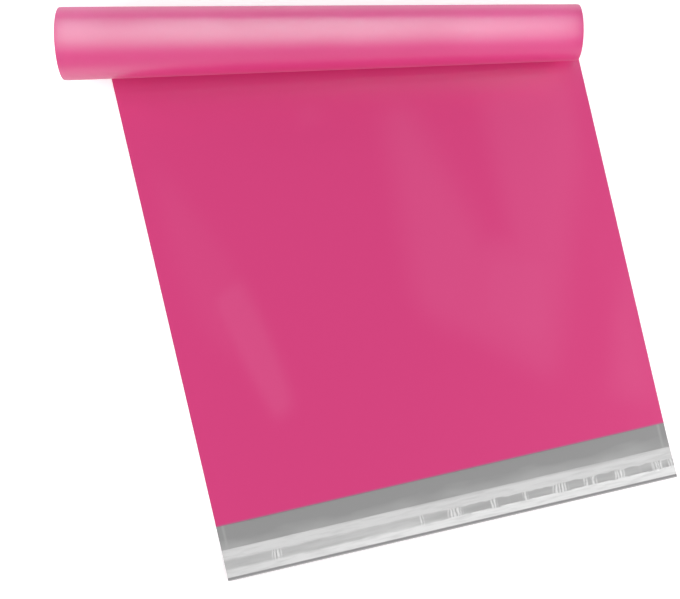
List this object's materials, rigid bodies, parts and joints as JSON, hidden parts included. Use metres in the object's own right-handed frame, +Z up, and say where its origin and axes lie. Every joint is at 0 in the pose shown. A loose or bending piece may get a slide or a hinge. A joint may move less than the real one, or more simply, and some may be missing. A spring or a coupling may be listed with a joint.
{
  "type": "poly mailer bag",
  "caption": "Flat pink plastic mailing bag with a grey inside, an open mouth, an adhesive lip under a clear peel-off liner, and its closed end rolled up over the front.",
  "frame": {"origin": "on the underside, at the middle of the mouth, where the lip meets the body of the bag", "axes": "+X across the bag, +Y from the mouth to the rolled closed end, +Z up out of the front wall"},
  "size_m": [0.3333, 0.388, 0.0473],
  "materials": {
    "film": "opaque coextruded polyethylene film, satin pink outside and grey inside",
    "adhesive": "patchy hot-melt adhesive, tacky and glossy",
    "liner": "thin translucent film, glossy, slightly wrinkled"
  },
  "bodies": {
    "root": {"bag": "film", "adhesive_strip": "adhesive", "release_liner": "liner"}
  },
  "joints": []
}
